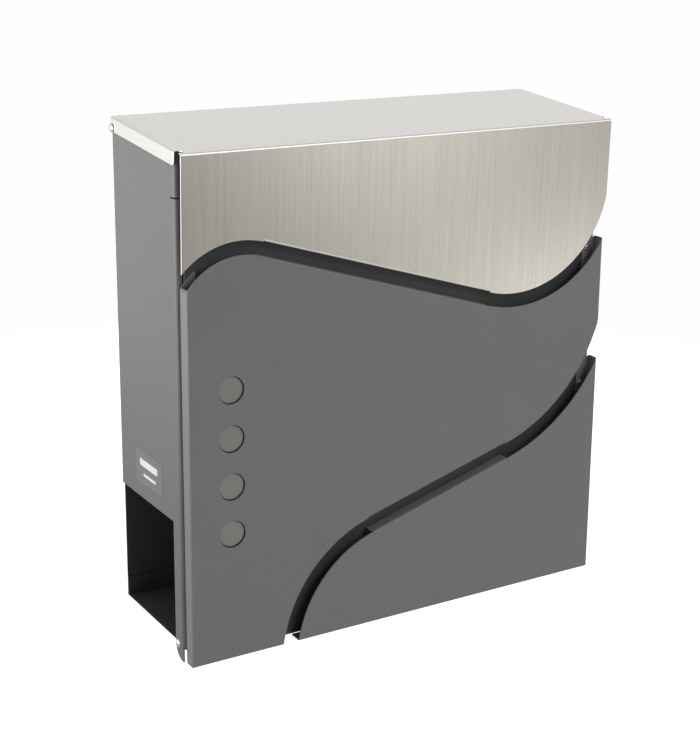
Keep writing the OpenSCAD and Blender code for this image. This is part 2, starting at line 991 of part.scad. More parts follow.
module lock_body() {
  color("silver")
    hung()
      at_lock()
        difference() {
          union() {
            translate([0, 0, door_y - lock_collar_h])
              cylinder(d = lock_collar_d, h = lock_collar_h);
            translate([0, 0, door_y])
              cylinder(d = lock_body_d, h = lock_body_end_y - door_y);
          }
          translate([0, 0, front_y])
            cylinder(d = plug_d + 2 * pin_clear, h = span);
        }
}

module lock_nut() {
  color("silver")
    hung()
      at_lock()
        translate([0, 0, door_y + sheet_t])
          difference() {
            cylinder(r = lock_nut_r, h = lock_nut_h, $fn = 6);
            translate([0, 0, -1])
              cylinder(d = lock_body_d, h = lock_nut_h + 2);
          }
}

module lock_plug() {
  plug_y = door_y - lock_collar_h - plug_proud;
  color("gold")
    hung()
      at_lock()
        difference() {
          union() {
            translate([0, 0, plug_y])
              cylinder(d = plug_d, h = plug_end_y - plug_y);
            translate([-cam_sq / 2, -cam_sq / 2, plug_end_y - lap])
              cube([cam_sq, cam_sq, lap + cam_y + cam_t - plug_end_y]);
          }
          translate([-key_slot_w / 2, -key_slot_l / 2, plug_y - 1])
            cube([key_slot_w, key_slot_l, key_slot_d + 1]);
          translate([0, 0, cam_y + cam_t - screw_depth])
            cylinder(d = screw_pin_d, h = screw_depth + 1);
        }
}

module lock_cam() {
  color("silver")
    hung()
      at_lock()
        translate([0, 0, cam_y])
          difference() {
            union() {
              cylinder(d = cam_hub_d, h = cam_t);
              translate([0, -cam_w / 2, 0])
                cube([cam_reach, cam_w, cam_t]);
            }
            translate([-cam_sq / 2, -cam_sq / 2, -1])
              cube([cam_sq, cam_sq, cam_t + 2]);
          }
}

module cam_screw() {
  color("silver")
    hung()
      at_lock() {
        translate([0, 0, cam_y + cam_t])
          dome(screw_head_d, screw_head_h);
        translate([0, 0, cam_y + cam_t - screw_depth])
          cylinder(d = screw_pin_d, h = screw_depth);
      }
}

// ---------- lid ----------

// strip of the flat lid top from a bend's centre inwards, so that the bend and the top overlap
module lid_strip() {
  translate([0, lid_bend_r - lid_t])
    square([lap, lid_t]);
}

// front bend in Y and Z of the lid frame, bend centre at the origin
module lid_bend() {
  lid_strip();
  ring_part(lid_bend_r, lid_bend_r - lid_t, 90, 180 + flap_lean - lid_pitch + bend_lap_angle);
}

module lid_edge_outline() {
  z0 = lid_bend_r - lid_edge_h;
  v0 = lid_relief_v + lid_relief_d / 2;
  difference() {
    // starts inside the corner relief, which cuts its front edge
    translate([v0 - lap, z0])
      square([lid_len - v0 + lap, lid_edge_h]);
    difference() {
      translate([v0 - 2 * lap, z0 - lap])
        square([lid_edge_r + 2 * lap, lid_edge_r + lap]);
      translate([v0 + lid_edge_r, z0 + lid_edge_r])
        circle(r = lid_edge_r);
    }
    difference() {
      translate([lid_len - lid_ear_r, z0 - 1])
        square([lid_ear_r + 1, lid_ear_r + 1]);
      translate([lid_len - lid_ear_r, z0 + lid_ear_r])
        circle(r = lid_ear_r);
    }
  }
}

module lid_cover() {
  r = lid_bend_r;
  flap_y = -r - bend_cross;
  color("gainsboro")
    hung()
      difference() {
        union() {
          lid_frame() {
            translate([-lid_w / 2 + r, 0, r - lid_t])
              cube([lid_w - 2 * r, lid_len, lid_t]);
            both_sides()
              intersection() {
                deep(0, lid_len) {
                  translate([-lid_w / 2 + r, 0]) {
                    lid_strip();
                    ring_part(r, r - lid_t, 90, 180);
                  }
                  translate([-lid_w / 2, r - lid_edge_h])
                    square([lid_t, lid_edge_h - r]);
                }
                across(-lid_w, 0)
                  lid_edge_outline();
              }
            across(-flap_w / 2 + bend_cross, flap_w / 2 - bend_cross)
              lid_bend();
          }
          flap_frame()
            difference() {
              translate([-flap_w / 2, flap_y, 0])
                cube([flap_w, lid_t, lid_cz + bend_lap]);
              deep(-2 * r, r)
                under_wave(upper, up_gap);
              on_wave(upper, up_gap)
                translate([-fold_slit, -2 * r, -1])
                  cube([wave_len(upper) + 2 * fold_slit, 3 * r, r + 1]);
            }
          flap_frame()
            on_wave(upper, up_gap)
              translate([0, flap_y, 0])
                mirror([0, 0, 1])
                  across(0, wave_len(upper))
                    fold_section(flap_fold_d, lid_t, r, 0);
        }
        // round relief at each front corner
        lid_frame()
          both_sides()
            translate([-lid_w / 2 + r, lid_relief_v, 0]) {
              translate([0, 0, -1])
                cylinder(d = lid_relief_d, h = r + 2);
              translate([-2 * r, -lid_relief_d / 2, -lid_edge_h])
                cube([2 * r, lid_relief_d, lid_edge_h + 2 * r]);
            }
        lid_pivot_hole(hinge_pin_d + 2 * pin_clear);
      }
}

back_panel();
left_side_wall();
right_side_wall();
floor_tray();
divider_shelf();
front_crossbar();
top_ledge();
lid_rivets();
lid_washers();
door_rivets();
pivot_bushes();
door_pan();
middle_panel();
lower_panel();
panel_rivets();
accent_studs();
stud_nuts();
lock_body();
lock_nut();
lock_plug();
lock_cam();
cam_screw();
lid_cover();
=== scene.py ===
import math

import bmesh
import bpy
import numpy as np
from bpy.props import FloatProperty, FloatVectorProperty, IntProperty, PointerProperty
from mathutils import Matrix, Vector


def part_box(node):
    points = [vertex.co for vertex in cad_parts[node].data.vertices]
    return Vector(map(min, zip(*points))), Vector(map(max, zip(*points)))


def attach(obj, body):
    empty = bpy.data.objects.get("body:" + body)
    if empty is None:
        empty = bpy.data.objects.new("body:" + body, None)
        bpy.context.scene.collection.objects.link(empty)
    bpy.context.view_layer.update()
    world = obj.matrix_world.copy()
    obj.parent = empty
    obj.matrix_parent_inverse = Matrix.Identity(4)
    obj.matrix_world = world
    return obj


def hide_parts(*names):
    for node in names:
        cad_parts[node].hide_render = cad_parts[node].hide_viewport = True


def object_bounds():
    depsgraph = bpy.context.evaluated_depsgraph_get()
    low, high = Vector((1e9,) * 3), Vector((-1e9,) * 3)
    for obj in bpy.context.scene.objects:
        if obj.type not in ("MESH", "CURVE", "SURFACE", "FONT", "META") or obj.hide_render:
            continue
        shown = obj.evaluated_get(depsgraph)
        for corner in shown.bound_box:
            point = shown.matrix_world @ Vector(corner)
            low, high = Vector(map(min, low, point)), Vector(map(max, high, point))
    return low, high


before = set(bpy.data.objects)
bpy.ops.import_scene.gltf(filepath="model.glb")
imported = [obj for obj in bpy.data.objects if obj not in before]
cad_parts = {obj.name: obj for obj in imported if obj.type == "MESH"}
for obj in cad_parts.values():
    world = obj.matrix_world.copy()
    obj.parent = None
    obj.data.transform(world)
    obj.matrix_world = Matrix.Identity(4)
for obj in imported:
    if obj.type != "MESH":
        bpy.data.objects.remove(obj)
CAD_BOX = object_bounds()

bl_info = {
    "name": "Wall Mailbox Finish",
    "version": (1, 0, 0),
    "blender": (4, 5, 0),
    "location": "View3D > Sidebar > Mailbox",
    "description": "Dresses the wall mailbox: sheets, rivets, studs, lock, label and studio",
    "category": "Add Mesh",
}

MM = 0.001
CREASE = math.radians(35)

# a set rivet's sizes as shares of its head's radius
HINGE_RIVET = {"head_height": 0.55385, "shank": 0.61538, "tail": 0.92308}
PANEL_RIVET = {"head_height": 0.52, "shank": 0.6, "tail": 0.84}
HINGE_TAIL_HEIGHT = 1.4 * MM

# round accents, their thread and their nuts
STUD_HEAD_HEIGHT = 2.5 * MM
STUD_NECK_RADIUS = 5 * MM
STUD_PIN_RADIUS = 2.5 * MM
STUD_STEPS = 96
STUD_FACE_RINGS = 14
THREAD_PITCH = 0.8 * MM
THREAD_ROOT = 0.86
NUT_ROUND = 0.3 * MM
NYLON_ROUND = 0.1 * MM

# round corners of the label's film and of its fields
LABEL_CORNER = 1.5 * MM
FIELD_CORNER = 0.8 * MM


# ---------- settings ----------

class SheetSettings(bpy.types.PropertyGroup):
    """Sizes and finishes of the folded sheet pieces"""

    edge_round: FloatProperty(
        name="Edge round", description="Rounding of the cut sheet edges",
        default=0.16 * MM, min=0.02 * MM, max=0.4 * MM, unit="LENGTH", precision=5)
    crease: FloatProperty(
        name="Crease angle", description="Edges sharper than this are rounded",
        default=CREASE, subtype="ANGLE")
    paint: FloatVectorProperty(
        name="Panel paint", description="Powder coat of the two front panels",
        default=(0.1125, 0.114, 0.121), subtype="COLOR", min=0.0, max=1.0)
    # painted shade: the side walls wear the panels' coat made darker, so that their jamb bends
    # and inner faces look shaded; stronger light from the left brings their outer faces back up
    body_paint: FloatVectorProperty(
        name="Body paint", description="Darker powder coat of the side walls",
        default=(0.075, 0.0765, 0.078), subtype="COLOR", min=0.0, max=1.0)
    # painted shade: the door pan and the hidden body sheets wear the panels' coat made far
    # darker, standing in for the shade inside the box and in the recesses between the front
    # panels
    shade_dark_paint: FloatVectorProperty(
        name="Inner paint", description="Darkest powder coat, of the door and what it hides",
        default=(0.036, 0.0375, 0.041), subtype="COLOR", min=0.0, max=1.0)
    paint_roughness: FloatProperty(
        name="Paint roughness", description="Gloss of the powder coat",
        default=0.42, min=0.0, max=1.0, subtype="FACTOR")
    paint_grain: FloatProperty(
        name="Paint grain", description="Size of the orange peel in the powder coat",
        default=0.9 * MM, unit="LENGTH", precision=5)
    steel: FloatVectorProperty(
        name="Steel", description="Brushed steel of the lid",
        default=(0.70, 0.69, 0.665), subtype="COLOR", min=0.0, max=1.0)
    steel_roughness: FloatProperty(
        name="Steel roughness", description="Gloss of the brushed steel",
        default=0.22, min=0.0, max=1.0, subtype="FACTOR")
    grain_width: FloatProperty(
        name="Grain width", description="Width of one brushing line on the lid",
        default=0.9 * MM, unit="LENGTH", precision=5)


class FastenerSettings(bpy.types.PropertyGroup):
    """Sizes and finishes of rivets, nuts, studs and lock"""

    turn_steps: IntProperty(
        name="Turn steps", description="Sides of a turned piece", default=48, min=12, max=128)
    mandrel: FloatProperty(
        name="Mandrel", description="Mandrel's share of a rivet's head",
        default=0.36, min=0.2, max=0.6, subtype="FACTOR")
    mandrel_sink: FloatProperty(
        name="Mandrel sink", description="Mandrel's depth below the rivet head's top",
        default=0.35 * MM, unit="LENGTH", precision=5)
    rivet: FloatVectorProperty(
        name="Rivet metal", description="Aluminium of the set rivets",
        default=(0.5, 0.49, 0.46), subtype="COLOR", min=0.0, max=1.0)
    accent: FloatVectorProperty(
        name="Accent metal", description="Matt turned metal of the round accents",
        default=(0.2, 0.2, 0.193), subtype="COLOR", min=0.0, max=1.0)
    accent_chamfer: FloatProperty(
        name="Accent chamfer", description="Chamfer around the accents' faces",
        default=0.35 * MM, unit="LENGTH", precision=5)
    zinc: FloatVectorProperty(
        name="Zinc", description="Zinc plate of nuts, cam and screw",
        default=(0.56, 0.565, 0.56), subtype="COLOR", min=0.0, max=1.0)
    nickel: FloatVectorProperty(
        name="Nickel", description="Nickel plate of the lock",
        default=(0.66, 0.65, 0.62), subtype="COLOR", min=0.0, max=1.0)
    nylon: FloatVectorProperty(
        name="Nylon", description="Black nylon of bushes and washers",
        default=(0.018, 0.018, 0.019), subtype="COLOR", min=0.0, max=1.0)


class LabelSettings(bpy.types.PropertyGroup):
    """Blank label on the left side wall"""

    width: FloatProperty(
        name="Width", description="Label width along the side wall",
        default=47 * MM, unit="LENGTH")
    height: FloatProperty(
        name="Height", description="Label height", default=26 * MM, unit="LENGTH")
    thickness: FloatProperty(
        name="Thickness", description="Film thickness",
        default=0.12 * MM, unit="LENGTH", precision=5)
    middle_y: FloatProperty(
        name="Place in depth", description="Label's middle, from the wall plane",
        default=-56.5 * MM, unit="LENGTH")
    middle_z: FloatProperty(
        name="Place in height", description="Label's middle, from the fixing holes' middle",
        default=-113.8 * MM, unit="LENGTH")
    film: FloatVectorProperty(
        name="Film", description="Colour of the label's film",
        default=(0.095, 0.096, 0.094), subtype="COLOR", min=0.0, max=1.0)
    field: FloatVectorProperty(
        name="Fields", description="Colour of the label's blank fields",
        default=(0.5, 0.5, 0.49), subtype="COLOR", min=0.0, max=1.0)


class StudioSettings(bpy.types.PropertyGroup):
    """Camera, floor and lights"""

    camera_place: FloatVectorProperty(
        name="Camera place", description="Where the camera stands",
        default=(-0.6269, -1.0707, 0.2983), subtype="TRANSLATION", unit="LENGTH")
    camera_turn: FloatProperty(
        name="Camera turn", description="Turn from straight at the wall towards the right",
        default=math.radians(31.23), subtype="ANGLE")
    camera_tilt: FloatProperty(
        name="Camera tilt", description="Tilt below the horizon",
        default=math.radians(14.84), subtype="ANGLE")
    camera_roll: FloatProperty(
        name="Camera roll", description="Roll about the view axis",
        default=math.radians(0.5), subtype="ANGLE")
    lens: FloatProperty(name="Lens", description="Focal length in millimetres", default=75.44)
    shift: FloatProperty(name="Shift", description="Vertical lens shift", default=-0.08)
    floor_size: FloatProperty(
        name="Floor size", description="Width of the round floor", default=2.2, unit="LENGTH")
    floor_drop: FloatProperty(
        name="Floor drop", description="Room below the box for the open door",
        default=80 * MM, unit="LENGTH")


# ---------- mesh helpers ----------

def new_object(name, mesh):
    obj = bpy.data.objects.new(name, mesh)
    bpy.context.scene.collection.objects.link(obj)
    return obj


def merged_copy(node):
    """bmesh of a CAD node, its loose triangles joined and its flat faces whole"""
    bm = bmesh.new()
    bm.from_mesh(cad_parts[node].data)
    bmesh.ops.remove_doubles(bm, verts=bm.verts, dist=0.03 * MM)
    bmesh.ops.dissolve_degenerate(bm, edges=bm.edges, dist=0.01 * MM)
    bmesh.ops.dissolve_limit(
        bm, angle_limit=math.radians(0.5), verts=bm.verts, edges=bm.edges, delimit={"NORMAL"})
    return bm


def islands(node):
    """lowest and highest corner of each separate solid of a CAD node"""
    bm = bmesh.new()
    bm.from_mesh(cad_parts[node].data)
    bmesh.ops.remove_doubles(bm, verts=bm.verts, dist=0.01 * MM)
    seen = set()
    found = []
    for start in bm.verts:
        if start in seen:
            continue
        stack = [start]
        seen.add(start)
        points = []
        while stack:
            v = stack.pop()
            points.append(v.co.copy())
            for e in v.link_edges:
                o = e.other_vert(v)
                if o not in seen:
                    seen.add(o)
                    stack.append(o)
        co = np.array(points)
        found.append((Vector(co.min(0)), Vector(co.max(0))))
    bm.free()
    return found


def sharp_by_angle(mesh, angle):
    """smooth faces with creases where they meet at more than angle"""
    bm = bmesh.new()
    bm.from_mesh(mesh)
    for f in bm.faces:
        f.smooth = True
    for e in bm.edges:
        e.smooth = not (len(e.link_faces) == 2 and e.calc_face_angle(0.0) > angle)
    bm.to_mesh(mesh)
    bm.free()


def rounded_piece(node, name, width, crease, finish):
    """copy of a CAD node with its sharp edges rounded, in the node's place"""
    bm = merged_copy(node)
    sharp = [
        e for e in bm.edges
        if (len(e.link_faces) == 2 and e.calc_face_angle(0.0) > crease
            and e.calc_length() > 0.05 * MM)
    ]
    bmesh.ops.bevel(
        bm, geom=sharp, offset=width, offset_type="OFFSET", segments=2,
        profile=0.5, affect="EDGES", clamp_overlap=False, miter_outer="SHARP")
    mesh = bpy.data.meshes.new(name)
    bm.to_mesh(mesh)
    bm.free()
    sharp_by_angle(mesh, math.radians(50))
    obj = new_object(name, mesh)
    mesh.materials.append(finish)
    even = obj.modifiers.new("Even normals", "WEIGHTED_NORMAL")
    even.keep_sharp = True
    even.weight = 80
    return obj


def seat(obj, node, body):
    """puts a piece in its node's place"""
    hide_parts(node)
    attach(obj, body)


def lathe(name, profile, steps):
    """closed solid turned about Z from (radius, height) points, first and last on the axis"""
    bm = bmesh.new()
    tag = bm.verts.layers.float.new("turn_radius")
    rings = []
    for r, h in profile:
        if r < 1e-9:
            v = bm.verts.new((0.0, 0.0, h))
            rings.append([v])
            continue
        ring = []
        for i in range(steps):
            a = 2 * math.pi * i / steps
            v = bm.verts.new((r * math.cos(a), r * math.sin(a), h))
            v[tag] = r
            ring.append(v)
        rings.append(ring)
    for lower, upper in zip(rings, rings[1:]):
        for i in range(steps):
            j = (i + 1) % steps
            if len(lower) == 1:
                bm.faces.new((lower[0], upper[j], upper[i]))
            elif len(upper) == 1:
                bm.faces.new((lower[i], lower[j], upper[0]))
            else:
                bm.faces.new((lower[i], lower[j], upper[j], upper[i]))
    bmesh.ops.recalc_face_normals(bm, faces=bm.faces)
    mesh = bpy.data.meshes.new(name)
    bm.to_mesh(mesh)
    bm.free()
    sharp_by_angle(mesh, math.radians(32))
    return mesh


# ---------- materials ----------

def node_tree(name):
    """new material with a bare Principled shader"""
    mat = bpy.data.materials.new(name)
    mat.use_nodes = True
    tree = mat.node_tree
    tree.nodes.clear()
    out = tree.nodes.new("ShaderNodeOutputMaterial")
    shader = tree.nodes.new("ShaderNodeBsdfPrincipled")
    tree.links.new(shader.outputs["BSDF"], out.inputs["Surface"])
    return mat, tree, shader


def add(tree, kind, **values):
    """new node with the given settings"""
    node = tree.nodes.new(kind)
    for key, value in values.items():
        setattr(node, key, value)
    return node


def noise(tree, vector, size, detail=2.0, rough=0.5):
    """noise whose features are about size metres wide"""
    n = add(tree, "ShaderNodeTexNoise")
    n.inputs["Scale"].default_value = 1.0 / size
    n.inputs["Detail"].default_value = detail
    n.inputs["Roughness"].default_value = rough
    tree.links.new(vector, n.inputs["Vector"])
    return n.outputs["Fac"]


def spread(tree, value, low, high, out_low, out_high):
    """value between low and high brought to the other range, and held there"""
    n = add(tree, "ShaderNodeMapRange")
    n.inputs["From Min"].default_value = low
    n.inputs["From Max"].default_value = high
    n.inputs["To Min"].default_value = out_low
    n.inputs["To Max"].default_value = out_high
    tree.links.new(value, n.inputs["Value"])
    return n.outputs["Result"]


def tint(tree, value, dark, light):
    """colour between dark at 0 and light at 1"""
    n = add(tree, "ShaderNodeMix", data_type="RGBA")
    n.inputs["A"].default_value = (*dark, 1.0)
    n.inputs["B"].default_value = (*light, 1.0)
    tree.links.new(value, n.inputs["Factor"])
    return n.outputs["Result"]


def relief(tree, shader, value, depth, strength):
    """shallow bumps of the given depth"""
    b = add(tree, "ShaderNodeBump")
    b.inputs["Strength"].default_value = strength
    b.inputs["Distance"].default_value = depth
    tree.links.new(value, b.inputs["Height"])
    tree.links.new(b.outputs["Normal"], shader.inputs["Normal"])


def times(colour, k):
    """the colour made darker or lighter"""
    return tuple(min(1.0, c * k) for c in colour[:3])


def powder_coat(name, colour, rough, grain):
    """satin powder coat: orange peel, fine specks and a slow drift of tone"""
    mat, tree, shader = node_tree(name)
    place = add(tree, "ShaderNodeTexCoord").outputs["Object"]
    speck = noise(tree, place, grain * 0.5, 3.0, 0.7)
    cloud = noise(tree, place, 60 * MM, 2.0)
    peel = noise(tree, place, grain, 2.0, 0.55)
    mixed = add(tree, "ShaderNodeMath", operation="MULTIPLY_ADD")
    tree.links.new(cloud, mixed.inputs[0])
    mixed.inputs[1].default_value = 0.35
    tree.links.new(speck, mixed.inputs[2])
    colour_out = tint(tree, spread(tree, mixed.outputs["Value"], 0.45, 0.9, 0.0, 1.0),
                      times(colour, 0.93), times(colour, 1.07))
    tree.links.new(colour_out, shader.inputs["Base Color"])
    tree.links.new(spread(tree, peel, 0.3, 0.7, rough - 0.04, rough + 0.05),
                   shader.inputs["Roughness"])
    shader.inputs["Specular IOR Level"].default_value = 0.45
    relief(tree, shader, peel, 0.02 * MM, 0.55)
    return mat


def brushed_steel(name, colour, rough, grain):
    """brushing lines run along V of the piece's grain map and repeat across U"""
    mat, tree, shader = node_tree(name)
    uv = add(tree, "ShaderNodeUVMap", uv_map="grain").outputs["UV"]

    def lines(width, length):
        stretch = add(tree, "ShaderNodeMapping")
        stretch.inputs["Scale"].default_value = (1.0, width / length, 1.0)
        tree.links.new(uv, stretch.inputs["Vector"])
        return noise(tree, stretch.outputs["Vector"], width, 2.0, 0.6)

    fine = lines(grain, 90 * MM)
    wide = lines(grain * 3, 260 * MM)
    broad = lines(grain * 20, 900 * MM)
    blend = add(tree, "ShaderNodeMath", operation="MULTIPLY_ADD")
    tree.links.new(wide, blend.inputs[0])
    blend.inputs[1].default_value = 1.0
    tree.links.new(fine, blend.inputs[2])
    tree.links.new(
        tint(tree, spread(tree, blend.outputs["Value"], 0.7, 1.3, 0.0, 1.0),
             times(colour, 0.94), times(colour, 1.04)),
        shader.inputs["Base Color"])
    shader.inputs["Metallic"].default_value = 1.0
    tree.links.new(spread(tree, broad, 0.3, 0.7, rough - 0.015, rough + 0.015),
                   shader.inputs["Roughness"])
    shader.inputs["Anisotropic"].default_value = 0.5
    tangent = add(tree, "ShaderNodeTangent", direction_type="UV_MAP", uv_map="grain")
    tree.links.new(tangent.outputs["Tangent"], shader.inputs["Tangent"])
    relief(tree, shader, fine, 0.004 * MM, 0.05)
    return mat


def plain_metal(name, colour, rough, grain, mottle=0.08, metallic=1.0, depth=0.01 * MM):
    """lightly mottled plating, casting or, with metallic 0, nylon"""
    mat, tree, shader = node_tree(name)
    place = add(tree, "ShaderNodeTexCoord").outputs["Object"]
    cloud = noise(tree, place, grain * 6, 3.0, 0.6)
    fine = noise(tree, place, grain, 3.0, 0.65)
    tree.links.new(tint(tree, spread(tree, cloud, 0.35, 0.65, 0.0, 1.0),
                        times(colour, 1 - mottle), times(colour, 1 + mottle)),
                   shader.inputs["Base Color"])
    shader.inputs["Metallic"].default_value = metallic
    tree.links.new(spread(tree, fine, 0.3, 0.7, rough - 0.06, rough + 0.08),
                   shader.inputs["Roughness"])
    relief(tree, shader, fine, depth, 0.4)
    return mat


def turned_metal(name, colour, rough):
    """fine rings from turning, on the radius kept with the mesh"""
    mat, tree, shader = node_tree(name)
    radius = add(tree, "ShaderNodeAttribute", attribute_type="GEOMETRY",
                 attribute_name="turn_radius").outputs["Fac"]
    place = add(tree, "ShaderNodeTexCoord").outputs["Object"]
    ring_width = 0.35 * MM
    ring = add(tree, "ShaderNodeTexNoise", noise_dimensions="1D")
    ring.inputs["Scale"].default_value = 1.0 / ring_width
    ring.inputs["Detail"].default_value = 2.0
    tree.links.new(radius, ring.inputs["W"])
    speck = noise(tree, place, 0.5 * MM, 3.0, 0.7)
    mix = add(tree, "ShaderNodeMath", operation="MULTIPLY_ADD")
    tree.links.new(ring.outputs["Fac"], mix.inputs[0])
    mix.inputs[1].default_value = 0.5
    tree.links.new(speck, mix.inputs[2])
    tree.links.new(tint(tree, spread(tree, mix.outputs["Value"], 0.5, 1.0, 0.0, 1.0),
                        times(colour, 0.9), times(colour, 1.1)),
                   shader.inputs["Base Color"])
    shader.inputs["Metallic"].default_value = 0.55
    tree.links.new(spread(tree, speck, 0.3, 0.7, rough - 0.05, rough + 0.05),
                   shader.inputs["Roughness"])
    relief(tree, shader, ring.outputs["Fac"], 0.01 * MM, 0.5)
    return mat


def film(name, colour, rough):
    """smooth printed film"""
    mat, tree, shader = node_tree(name)
    place = add(tree, "ShaderNodeTexCoord").outputs["Object"]
    cloud = noise(tree, place, 3 * MM, 3.0, 0.6)
    tree.links.new(tint(tree, cloud, times(colour, 0.97), times(colour, 1.03)),
                   shader.inputs["Base Color"])
    tree.links.new(spread(tree, cloud, 0.3, 0.7, rough - 0.02, rough + 0.03),
                   shader.inputs["Roughness"])
    relief(tree, shader, cloud, 0.004 * MM, 0.2)
    return mat


MATERIALS = {}


def material(key):
    """the material of that key, made once from the settings"""
    sheet = bpy.context.scene.mailbox_sheet
    parts = bpy.context.scene.mailbox_fasteners
    label = bpy.context.scene.mailbox_label
    if key not in MATERIALS:
        MATERIALS[key] = {
            "panel_paint": lambda: powder_coat(
                "panel_coat_grey", sheet.paint, sheet.paint_roughness, sheet.paint_grain),
            # painted shade: darker copy of the panel coat, for the side walls' jambs and inner
            # faces
            "body_paint": lambda: powder_coat(
                "body_coat_shaded_grey", sheet.body_paint, sheet.paint_roughness, sheet.paint_grain),
            # painted shade: darkest copy of the panel coat, for the inside of the box and the
            # recesses
            "shade_dark_paint": lambda: powder_coat(
                "shade_dark_coat_grey", sheet.shade_dark_paint, sheet.paint_roughness, sheet.paint_grain),
            "steel": lambda: brushed_steel(
                "brushed_lid_steel", sheet.steel, sheet.steel_roughness, sheet.grain_width),
            "rivet": lambda: plain_metal(
                "rivet_aluminium", parts.rivet, rough=0.3, grain=0.4 * MM),
            "accent": lambda: turned_metal("turned_accent_metal", parts.accent, rough=0.45),
            "zinc": lambda: plain_metal(
                "zinc_plate", parts.zinc, rough=0.36, grain=0.8 * MM, mottle=0.12),
            "nickel": lambda: plain_metal(
                "nickel_plate", parts.nickel, rough=0.2, grain=1.2 * MM, mottle=0.04),
            "nylon": lambda: plain_metal(
                "black_nylon", parts.nylon, rough=0.5, grain=0.4 * MM, mottle=0.2,
                metallic=0.0, depth=0.02 * MM),
            "film": lambda: film("label_film", label.film, rough=0.3),
            "field": lambda: film("label_field", label.field, rough=0.45),
        }[key]()
    return MATERIALS[key]


# ---------- geometry nodes ----------

def placing_tree():
    """puts a turned part on every point, its axis along the point's axis attribute"""
    name = "Place turned parts"
    if name in bpy.data.node_groups:
        return bpy.data.node_groups[name]
    tree = bpy.data.node_groups.new(name, "GeometryNodeTree")
    face = tree.interface
    face.new_socket("Geometry", in_out="INPUT", socket_type="NodeSocketGeometry")
    face.new_socket("Part", in_out="INPUT", socket_type="NodeSocketObject")
    spin = face.new_socket("Spin", in_out="INPUT", socket_type="NodeSocketFloat")
    spin.subtype = "ANGLE"
    size = face.new_socket("Size", in_out="INPUT", socket_type="NodeSocketFloat")
    size.default_value = 1.0
    seed = face.new_socket("Seed", in_out="INPUT", socket_type="NodeSocketInt")
    seed.default_value = 7
    face.new_socket("Finish", in_out="INPUT", socket_type="NodeSocketMaterial")
    face.new_socket("Geometry", in_out="OUTPUT", socket_type="NodeSocketGeometry")
    n, link = tree.nodes, tree.links
    given, result = n.new("NodeGroupInput"), n.new("NodeGroupOutput")
    part = n.new("GeometryNodeObjectInfo")
    axis = n.new("GeometryNodeInputNamedAttribute")
    axis.data_type = "FLOAT_VECTOR"
    axis.inputs["Name"].default_value = "axis"
    align = n.new("FunctionNodeAlignRotationToVector")
    align.axis = "Z"
    chance = n.new("FunctionNodeRandomValue")
    chance.data_type = "FLOAT"
    about = n.new("FunctionNodeAxisAngleToRotation")
    about.inputs["Axis"].default_value = (0.0, 0.0, 1.0)
    turn = n.new("FunctionNodeRotateRotation")
    turn.rotation_space = "LOCAL"
    place = n.new("GeometryNodeInstanceOnPoints")
    real = n.new("GeometryNodeRealizeInstances")
    coat = n.new("GeometryNodeSetMaterial")
    link.new(given.outputs["Geometry"], place.inputs["Points"])
    link.new(given.outputs["Part"], part.inputs["Object"])
    link.new(part.outputs["Geometry"], place.inputs["Instance"])
    link.new(axis.outputs["Attribute"], align.inputs["Vector"])
    link.new(given.outputs["Spin"], chance.inputs[3])
    link.new(given.outputs["Seed"], chance.inputs["Seed"])
    link.new(chance.outputs[1], about.inputs["Angle"])
    link.new(align.outputs["Rotation"], turn.inputs["Rotation"])
    link.new(about.outputs["Rotation"], turn.inputs["Rotate By"])
    link.new(turn.outputs["Rotation"], place.inputs["Rotation"])
    link.new(given.outputs["Size"], place.inputs["Scale"])
    link.new(place.outputs["Instances"], real.inputs["Geometry"])
    link.new(real.outputs["Geometry"], coat.inputs["Geometry"])
    link.new(given.outputs["Finish"], coat.inputs["Material"])
    link.new(coat.outputs["Geometry"], result.inputs["Geometry"])
    return tree


def placed_parts(name, mesh, spots, finish, seed=7):
    """one mesh with a copy of a turned part at every (place, axis)"""
    part = new_object(name + "_part", mesh)
    points = bpy.data.meshes.new(name)
    points.from_pydata([tuple(p) for p, _ in spots], [], [])
    axis = points.attributes.new("axis", "FLOAT_VECTOR", "POINT")
    axis.data.foreach_set("vector", [c for _, a in spots for c in a])
    obj = new_object(name, points)
    tree = placing_tree()
    mod = obj.modifiers.new("Place", "NODES")
    mod.node_group = tree
    values = {"Part": part, "Spin": 2 * math.pi, "Size": 1.0, "Seed": seed, "Finish": finish}
    for item in tree.interface.items_tree:
        if item.in_out == "INPUT" and item.name in values:
            mod[item.identifier] = values[item.name]
    done = bpy.data.meshes.new_from_object(
        obj.evaluated_get(bpy.context.evaluated_depsgraph_get()))
    done.name = name
    obj.modifiers.clear()
    obj.data = done
    bpy.data.objects.remove(part)
    return obj


# ---------- profiles ----------

def dome_points(r, h, steps=7):
    """points of a dome from its flat rim, radius r, to its crown at height h"""
    big = (r * r + h * h) / (2 * h)
    end = math.asin(r / big)
    return [
        (big * math.sin(end * (1 - i / steps)), h - big + big * math.cos(end * (1 - i / steps)))
        for i in range(steps + 1)
    ]


